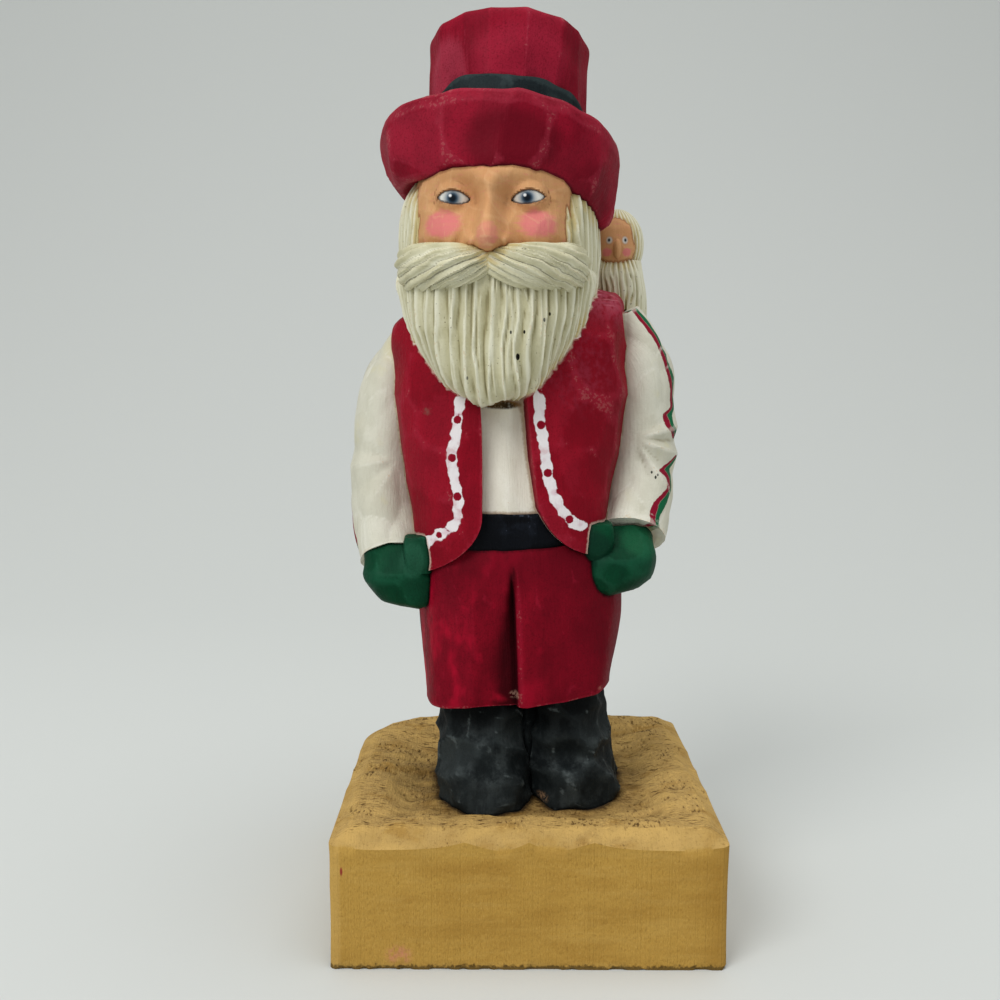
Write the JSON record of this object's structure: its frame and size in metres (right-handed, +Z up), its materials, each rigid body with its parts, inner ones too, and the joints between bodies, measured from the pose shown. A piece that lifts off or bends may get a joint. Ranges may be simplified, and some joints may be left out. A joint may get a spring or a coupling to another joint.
{
  "type": "carved santa figure",
  "caption": "Standing carved wooden figure of a bearded man in a top hat on a square block base; a painted shelf ornament that rests on its flat underside.",
  "frame": {"origin": "middle of the block's underside, on the surface the figure stands on", "axes": "+Z up through the hat, -Y the way the figure faces, +X to its left hand"},
  "size_m": [0.089, 0.089, 0.2145],
  "materials": {
    "painted_basswood": "thin satin paint over knife-cut basswood, worn on the ridges; ochre stain on the block"
  },
  "bodies": {
    "root": {"carved_santa": "painted_basswood"}
  },
  "joints": []
}
